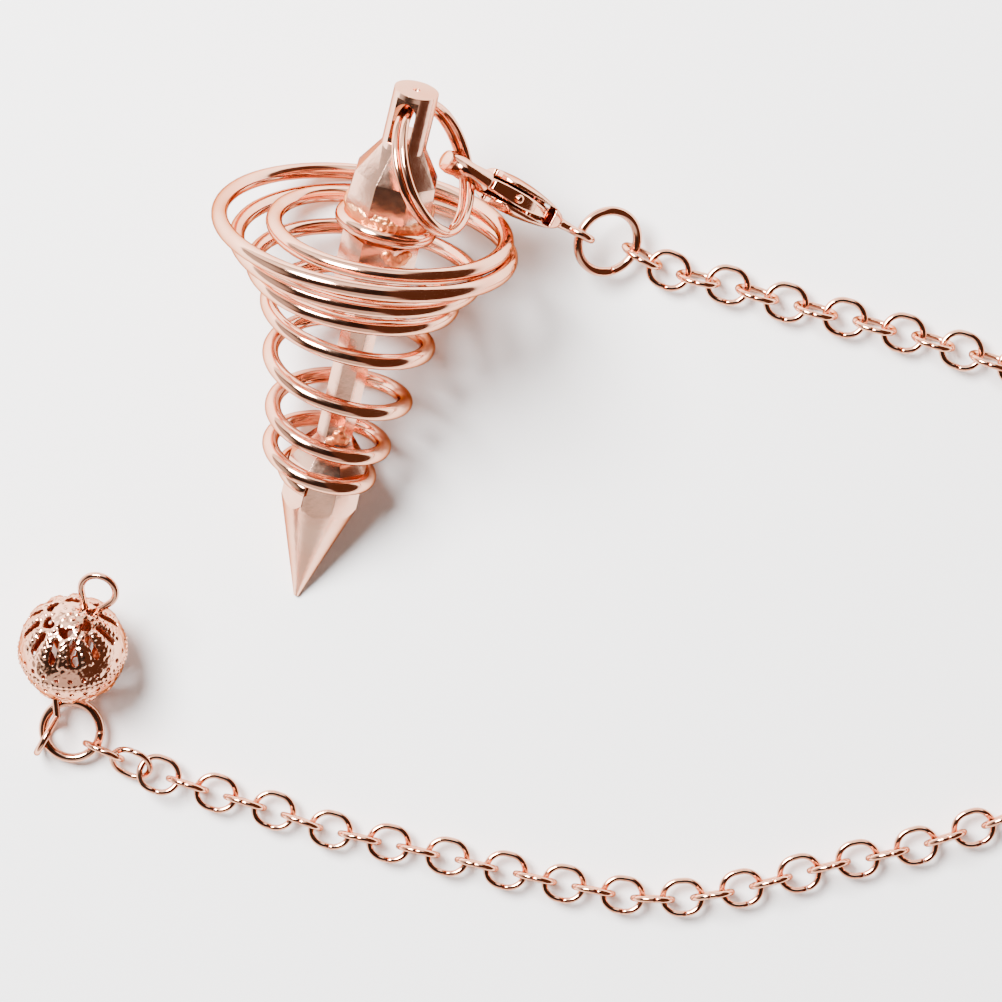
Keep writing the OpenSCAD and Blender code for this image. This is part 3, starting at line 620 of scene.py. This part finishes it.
def share_between(value, low, high):
    """How far a value is from low to high, kept from 0 to 1."""
    return min(max((value - low) / (high - low), 0), 1)


pod_rows = []
for i in range(POD_RINGS):
    along = POD[0][0] + (POD[-1][0] - POD[0][0]) * i / (POD_RINGS - 1)
    spine, gate, side = (smooth_rows(POD, along, column) for column in (1, 2, 3))
    proud = RIM_RISE * share_between(along, RIM_FROM, RIM_FROM + RIM_FADE[0])
    proud *= share_between(along, RIM_TO, RIM_TO - RIM_FADE[1])
    pod_rows.append((along * CLASP_LEN, spine * HOOK_R, gate * HOOK_R + proud, side * POD_W / 2))
pod = loft(pod_rows)

# %% The rim is pressed nearly flat, and the hook, the gate and the slot are cut
GATE = [
    (1.6, -0.2), (3, -0.2), (3.1, 0.7), (3.3, 1.3), (3.7, 1.8), (4.3, 2.2), (5.2, 2.45), (6.2, 2.6),
    (6.2, 5.2), (1.6, 5.2)]
SLOT_HALF, SLOT_TOP = 0.9, 2 * HOOK_R
for vertex in pod.data.vertices:
    rim = smooth_rows(POD, vertex.co.x / MM / CLASP_LEN, 2) * HOOK_R * MM
    vertex.co.y = min(vertex.co.y, rim + RIM_FLAT * (vertex.co.y - rim))
bpy.ops.mesh.primitive_cylinder_add(vertices=64, radius=HOOK_HOLE_R * MM, depth=2 * POD_W * MM)
cut(pod, bpy.context.object)
cut(pod, block((0, -HOOK_HOLE_R, -POD_W), (2.7, HOOK_HOLE_R, POD_W)))
cut(pod, prism(GATE, 3 * POD_W * MM))
cut(pod, block((2.3, -1.05, -SLOT_HALF), (7.8, SLOT_TOP, SLOT_HALF)))
cut(pod, block((7.7, -0.62, -SLOT_HALF), (9.8, SLOT_TOP, SLOT_HALF)))
clean(pod)
print("The cut pod has", len(pod.data.polygons), "faces")

# %% The neck, the eye and the casting
neck = loft(NECK, 16)
eye = bent_ring(2.3 * MM, 0.75 * MM, joint_deg=0.5)
seat(eye, Matrix.Translation((CLASP_LEN * MM, 0, 0)))
clasp_body = join([pod, neck, eye])
modify(clasp_body, "REMESH", mode="VOXEL", voxel_size=0.06 * MM)
modify(clasp_body, "SMOOTH", factor=0.5, iterations=16)
seat(clasp_body, CLASP)
finish(clasp_body, "clasp_casting", "clasp_body", CAST, smooth=80)

# %% [markdown]
# ## The lever and its pin
# The lever is a stamped plate with rounded edges: a long tongue from the pin to the hook's point, with a
# small knob for the thumbnail. Its outline is a circle whose corners are moved one by one, then extruded and
# bevelled, and it is thinned toward both ends.

# %% The lever's outline in mm, from its tip back along the thumb side and round the pin
LEVER = [
    (0.9, 0.85), (0.9, 1.45), (1.85, 1.55), (1.95, 2.2), (4.2, 2.3), (5.8, 2.15), (7, 1.85), (8.3, 1.35),
    (9.3, 0.75), (9.4, 0.35), (8.6, -0.15), (7.4, -0.42), (6.6, -0.15), (5.6, 0.2), (3.8, 0.5), (2, 0.72)]
LEVER_W, LEVER_THINS, LEVER_MID, LEVER_HALF = 1.45 * MM, 0.4, 5.1, 4.3
PIN_R, PIN_HOLE_R, PIN_SHARE = 0.35 * MM, 0.41 * MM, 0.86
KNOB_R, KNOB_AT = 0.45 * MM, Vector((4.93, 2.3, 0)) * MM
bpy.ops.object.select_all(action="DESELECT")
bpy.ops.mesh.primitive_circle_add(vertices=len(LEVER), radius=MM, fill_type="NGON")
lever = bpy.context.object
for vertex, (x, y) in zip(lever.data.vertices, LEVER):
    vertex.co = (x * MM, y * MM, -LEVER_W / 2)
pick(lever, "vertices", lambda vertex: True)
bpy.ops.mesh.extrude_region_move(TRANSFORM_OT_translate={"value": (0, 0, LEVER_W)})
clean(done())
modify(lever, "BEVEL", width=0.42 * MM, segments=5, limit_method="ANGLE", angle_limit=math.radians(60))
for vertex in lever.data.vertices:
    vertex.co.z *= 1 - LEVER_THINS * ((vertex.co.x / MM - LEVER_MID) / LEVER_HALF) ** 2
bpy.ops.mesh.primitive_cylinder_add(vertices=48, radius=PIN_HOLE_R, depth=4 * LEVER_W, location=PIN_AT)
cut(lever, bpy.context.object)
bpy.ops.mesh.primitive_uv_sphere_add(segments=24, ring_count=12, radius=KNOB_R, location=KNOB_AT)
knob = bpy.context.object
bpy.ops.object.transform_apply()
lever = cut(lever, knob, "UNION")
seat(clean(lever), CLASP)
finish(lever, "clasp_lever_plate", "clasp_lever", CAST, body="clasp_lever", smooth=40)

# %% The pin
bpy.ops.mesh.primitive_cylinder_add(vertices=32, radius=PIN_R, depth=PIN_SHARE * POD_W * MM,
                                    location=PIN_AT)
pin = bpy.context.object
bpy.ops.object.transform_apply()
modify(pin, "BEVEL", width=0.1 * MM, segments=3, limit_method="ANGLE", angle_limit=math.radians(50))
seat(clean(pin), CLASP)
finish(pin, "clasp_hinge_pin", "clasp_pin", WIRE, smooth=50)

# %% [markdown]
# ## Filigree bead
# The bead is a thin hollow ball, pierced and granulated. Its pattern repeats six times round the ball: a
# heart near each pole, tall slits between columns of granules below it, and small round holes beside the
# middle seam. Cutters are placed by latitude and longitude, joined, and cut out at once.

# %% The bead's directions and a matrix for a place on its skin
BEAD_R, BEAD_WALL = 5.1 * MM, 0.5 * MM
low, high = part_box("filigree_bead")
BEAD_AT = (Vector(low) + Vector(high)) / 2
wire_x = direction(27, 65.5)
pole = direction(39.6, 90.6)
toward_wire = (wire_x - wire_x.dot(pole) * pole).normalized()
BEAD = axes(BEAD_AT, toward_wire, pole.cross(toward_wire), pole)
HEART_LAT = 90 - math.degrees(wire_x.angle(pole))
MOTIFS = 6
STEP = 360 / MOTIFS
SIDES = (1, -1)
SLIT_LAT, HOLE_LAT = 43, 11


def on_bead(lat, lon, radius=BEAD_R):
    """A place on the ball: local Z points out, local X to the upper pole."""
    turn = Matrix.Rotation(math.radians(lon), 4, "Z") @ Matrix.Rotation(math.radians(90 - lat), 4, "Y")
    return turn @ Matrix.Translation((0, 0, radius)) @ Matrix.Rotation(math.pi, 4, "Z")


print("Hearts lie at latitude", round(HEART_LAT, 1))


# %% Cutters
def copies(piece, places):
    """A copy of a piece at each place, in place of the piece itself."""
    made = []
    for place in places:
        lone(piece)
        bpy.ops.object.duplicate()
        made.append(seat(bpy.context.object, place))
    drop(piece)
    return made


def ring_points(count, fn):
    return [fn(2 * math.pi * i / count) for i in range(count)]


heart = prism(ring_points(24, lambda t: (
    0.044 * (13 * math.cos(t) - 5 * math.cos(2 * t) - 2 * math.cos(3 * t) - math.cos(4 * t)),
    0.043 * 16 * math.sin(t) ** 3)))
slit = prism(ring_points(20, lambda t: (0.3 * math.cos(t) + math.copysign(0.92, math.cos(t)),
                                        0.28 * math.sin(t))))
hole = prism(ring_points(12, lambda t: (0.21 * math.cos(t), 0.21 * math.sin(t))))
cutters = copies(heart, [on_bead(side * HEART_LAT, STEP * m) for side in SIDES for m in range(MOTIFS)])
cutters += copies(slit, [
    on_bead(side * SLIT_LAT, STEP * (m + 0.5) / 2) for side in SIDES for m in range(2 * MOTIFS)])
cutters += copies(hole, [
    on_bead(side * HOLE_LAT, STEP * (m + 0.5) / 4) for side in SIDES for m in range(4 * MOTIFS)])
cutters = join(cutters)

# %% The pierced ball
bpy.ops.mesh.primitive_uv_sphere_add(segments=96, ring_count=48, radius=BEAD_R)
bead = bpy.context.object
bpy.ops.mesh.primitive_uv_sphere_add(segments=96, ring_count=48, radius=BEAD_R - BEAD_WALL)
cut(bead, bpy.context.object)
cut(bead, cutters)
modify(bead, "BEVEL", width=0.05 * MM, segments=2, limit_method="ANGLE", angle_limit=math.radians(40))
print("Pierced ball:", len(bead.data.polygons), "faces")


# %% Granules and the beaded seam
RELIEF = 0.15 * MM
HALF_STEP = STEP / 2


def grains_at(diameter, places):
    """Granules at latitudes and longitudes on both halves, all standing equally proud of the ball."""
    bpy.ops.object.select_all(action="DESELECT")
    bpy.ops.mesh.primitive_uv_sphere_add(segments=10, ring_count=7, radius=diameter / 2)
    lift = BEAD_R + RELIEF - diameter / 2
    return copies(bpy.context.object, [
        on_bead(side * lat, lon, lift) for side in SIDES for lat, lon in places])


grains = grains_at(0.86 * MM, [
    (lat, HALF_STEP * m) for lat in (55, 49, 43, 37, 31) for m in range(2 * MOTIFS)])
grains += grains_at(0.5 * MM, [
    (lat, HALF_STEP * m + turn)
    for lat in (52, 46, 40, 34, 28) for m in range(2 * MOTIFS) for turn in (-4.6, 4.6)])
grains += grains_at(0.62 * MM, [(90, 0)] + [(81, STEP * (m + 0.5)) for m in range(MOTIFS)])
grains += grains_at(0.56 * MM, [
    (HEART_LAT + up, STEP * (m + 0.5) + turn) for m in range(MOTIFS)
    for up, turn in ((-7, -8), (-7, 8), (-1, 0), (6, 0))])
grains += grains_at(0.42 * MM, [(2.6, STEP * m / 10) for m in range(10 * MOTIFS)])
bead = join([clean(bead)] + grains)
modify(bead, "REMESH", mode="VOXEL", voxel_size=0.1 * MM)
pits = bpy.data.textures.new("pits", type="CLOUDS")
pits.noise_scale = 0.45 * MM
modify(bead, "DISPLACE", texture=pits, strength=0.12 * MM, mid_level=0.85)
modify(bead, "SMOOTH", factor=0.3, iterations=1)
seat(bead, BEAD)

# %% [markdown]
# ## Painted shade inside the bead
# The inside of the hollow bead is painted a dark copper that stands in for its shade, and made dull, so that
# the holes look deep. A node measures how far each place is from the bead's middle, and mixes the painted shade
# colour and the dull roughness in under the skin.


# %% The metal of the pierced bead
def paint_shade_inside(material, middle, deep_at, bright_at):
    """Painted shade of dull dark copper under the first radius from the middle, and polished plate past the
    second.
    """
    nodes, links = material.node_tree.nodes, material.node_tree.links
    shader = nodes["Principled BSDF"]
    place = nodes.new("ShaderNodeTexCoord")
    radius = nodes.new("ShaderNodeVectorMath")
    radius.operation = "DISTANCE"
    radius.inputs[1].default_value = middle
    edge = nodes.new("ShaderNodeMapRange")
    edge.inputs["From Min"].default_value = deep_at
    edge.inputs["From Max"].default_value = bright_at
    colour = nodes.new("ShaderNodeMix")
    colour.data_type = "RGBA"
    # Painted shade: the dark copper mixed in under the bead's skin stands in for the shadow in its holes.
    colour.inputs["A"].default_value = (*SHADE_COPPER, 1)
    gloss = nodes.new("ShaderNodeMix")
    gloss.inputs["A"].default_value = DULL_ROUGHNESS
    links.new(place.outputs["Object"], radius.inputs[0])
    links.new(radius.outputs["Value"], edge.inputs["Value"])
    for mix, socket in ((colour, "Base Color"), (gloss, "Roughness")):
        links.new(shader.inputs[socket].links[0].from_socket, mix.inputs["B"])
        links.new(edge.outputs["Result"], mix.inputs["Factor"])
        links.new(mix.outputs["Result"], shader.inputs[socket])


# The first colour is painted shade: dark copper for the inside of the bead, standing in for the shadow in its
# holes.
SHADE_COPPER, DULL_ROUGHNESS = (0.36, 0.07, 0.025), 0.45
PIERCED = rose_gold("pierced_rose_gold", BRIGHT, DEEP, 0.12, 0.012 * MM, 0.9 * MM)
paint_shade_inside(PIERCED, BEAD_AT, BEAD_R - 0.32 * MM, BEAD_R - 0.1 * MM)
finish(bead, "granulated_bead", "filigree_bead", PIERCED, smooth=40)

# %% [markdown]
# ## The bead's wire
# One wire goes through the bead. Outside it is bent round into an eye at each end: the free eye stands open
# to the camera, and the other, longer one is bent down and stands on edge, with the end ring through it.

# %% The wire with its two eyes
EYE_R, EYE_WIRE = 1.65 * MM, 0.65 * MM
EYE_REACH, BEND_REACH = 7.45 * MM, 5.4 * MM
wire_y = Vector((-wire_x.y, wire_x.x, 0)).normalized()
BEAD_WIRE = axes(BEAD_AT, wire_x, wire_y, wire_x.cross(wire_y))
bend_at = BEAD_AT - BEND_REACH * wire_x
far_at = BEAD_AT + Vector((-2.97, -9.07, 0)) * MM
far_at.z = EYE_R + EYE_WIRE / 2 + 0.02 * MM
far_x = direction(0, 240.6)
FAR_EYE = axes(far_at, far_x, Vector((0, 0, 1)), far_x.cross(Vector((0, 0, 1))))


def eye_points(apex, reach=0, steps=40):
    """A teardrop in the XY plane: its legs are the two tangents to the eye from its apex."""
    start = math.pi / 2 + math.asin(EYE_R / apex)
    middle = Vector((reach, 0, 0))
    arc = [middle + EYE_R * Vector((math.cos(a), math.sin(a), 0))
           for a in (start - 2 * start * i / steps for i in range(steps + 1))]
    legs = 0.85 * math.sqrt(apex**2 - EYE_R**2)
    first = arc[0] + legs * Vector((-math.sin(start), math.cos(start), 0))
    last = Vector((first.x, -first.y, 0))
    return [first] + arc + [last]


free_eye = wire(eye_points(3.4 * MM, EYE_REACH), EYE_WIRE, fine=5)
far_points = eye_points(2.5 * MM)
bend_there = FAR_EYE.inverted() @ bend_at
far_eye = wire([bend_there] + far_points + [bend_there], EYE_WIRE, fine=5)
seat(far_eye, BEAD_WIRE.inverted() @ FAR_EYE)
bpy.ops.mesh.primitive_cylinder_add(vertices=20, radius=EYE_WIRE / 2, depth=2 * BEND_REACH,
                                    rotation=(0, math.pi / 2, 0))
bpy.ops.object.transform_apply()
bead_wire = join([free_eye, far_eye, bpy.context.object])
seat(clean(bead_wire), BEAD_WIRE)
finish(bead_wire, "bead_wire_eyes", "bead_wire", WIRE, smooth=60)

# %% [markdown]
# ## Table, light and camera
# A white table runs out of the view on all sides. Polished metal shows its surroundings, so the studio is
# part of the look: a dark ceiling over the lens, bright before and behind it, a white left and a warm brown
# right.

# %% The table
bpy.ops.object.select_all(action="DESELECT")
bpy.ops.mesh.primitive_plane_add(size=3)
table = bpy.context.object
table.name = "table"
white = bpy.data.materials.new("white_table")
white.use_nodes = True
white.node_tree.nodes["Principled BSDF"].inputs["Base Color"].default_value = (0.94, 0.93, 0.93, 1)
white.node_tree.nodes["Principled BSDF"].inputs["Roughness"].default_value = 0.55
table.data.materials.append(white)

# %% The studio round the table: share toward the back wall from -1 to 1, and colour
CEILING = [
    (-1, (0.95, 0.9, 0.87)), (-0.8, (1.1, 1.03, 0.98)), (-0.72, (1.0, 0.9, 0.85)),
    (-0.62, (0.05, 0.03, 0.02)), (0.1, (0.02, 0.012, 0.01)), (0.5, (0.03, 0.018, 0.014)),
    (0.6, (2.9, 2.8, 2.7)), (0.86, (2.5, 2.4, 2.3)), (0.97, (1.0, 0.95, 0.9)), (1, (0.9, 0.85, 0.8))]
WHITE_LEFT, BROWN_RIGHT = (0.9, 0.85, 0.82), (0.12, 0.05, 0.03)
BRIGHTEST = 3
world = bpy.context.scene.world or bpy.data.worlds.new("studio")
bpy.context.scene.world = world
world.use_nodes = True
nodes, links = world.node_tree.nodes, world.node_tree.links
toward = nodes.new("ShaderNodeTexCoord")


def share_toward(azimuth, low, high):
    """How far a direction of view turns toward an azimuth, from 0 at low to 1 at high."""
    facing = nodes.new("ShaderNodeVectorMath")
    facing.operation = "DOT_PRODUCT"
    facing.inputs[1].default_value = direction(0, azimuth)
    edge = nodes.new("ShaderNodeMapRange")
    edge.inputs["From Min"].default_value = low
    edge.inputs["From Max"].default_value = high
    links.new(toward.outputs["Generated"], facing.inputs[0])
    links.new(facing.outputs["Value"], edge.inputs["Value"])
    return edge.outputs["Result"]


ramp = nodes.new("ShaderNodeValToRGB")
stops = ramp.color_ramp.elements
for i, (share, colour) in enumerate(CEILING):
    stop = stops[i] if i < 2 else stops.new((share + 1) / 2)
    stop.position = (share + 1) / 2
    stop.color = (*(value / BRIGHTEST for value in colour), 1)
links.new(share_toward(90, -1, 1), ramp.inputs["Fac"])
colour = ramp.outputs["Color"]
for azimuth, low, high, wall in ((180, 0.78, 0.92, WHITE_LEFT), (-4, 0.3, 0.42, BROWN_RIGHT)):
    mix = nodes.new("ShaderNodeMix")
    mix.data_type = "RGBA"
    mix.inputs["B"].default_value = (*(value / BRIGHTEST for value in wall), 1)
    links.new(share_toward(azimuth, low, high), mix.inputs["Factor"])
    links.new(colour, mix.inputs["A"])
    colour = mix.outputs["Result"]
links.new(colour, nodes["Background"].inputs["Color"])
nodes["Background"].inputs["Strength"].default_value = BRIGHTEST

# %% A large soft lamp from the upper left
bpy.ops.object.light_add(type="AREA", location=(-0.3, 0.32, 0.55))
lamp = bpy.context.object
lamp.data.shape = "DISK"
lamp.data.size = 0.35
lamp.data.energy = 27
lamp.rotation_euler = (-lamp.location).to_track_quat("-Z", "Y").to_euler()

# %% The camera
LOOK_AT = Vector((-10.575, -0.34, 0)) * MM
CAMERA_FAR, CAMERA_RISE = 450 * MM, 82
bpy.ops.object.camera_add(location=LOOK_AT + CAMERA_FAR * direction(CAMERA_RISE, 90),
                          rotation=(math.radians(CAMERA_RISE - 90), 0, 0))
camera = bpy.context.object
camera.data.lens = 171.4
camera.data.sensor_width = 36
bpy.context.scene.camera = camera
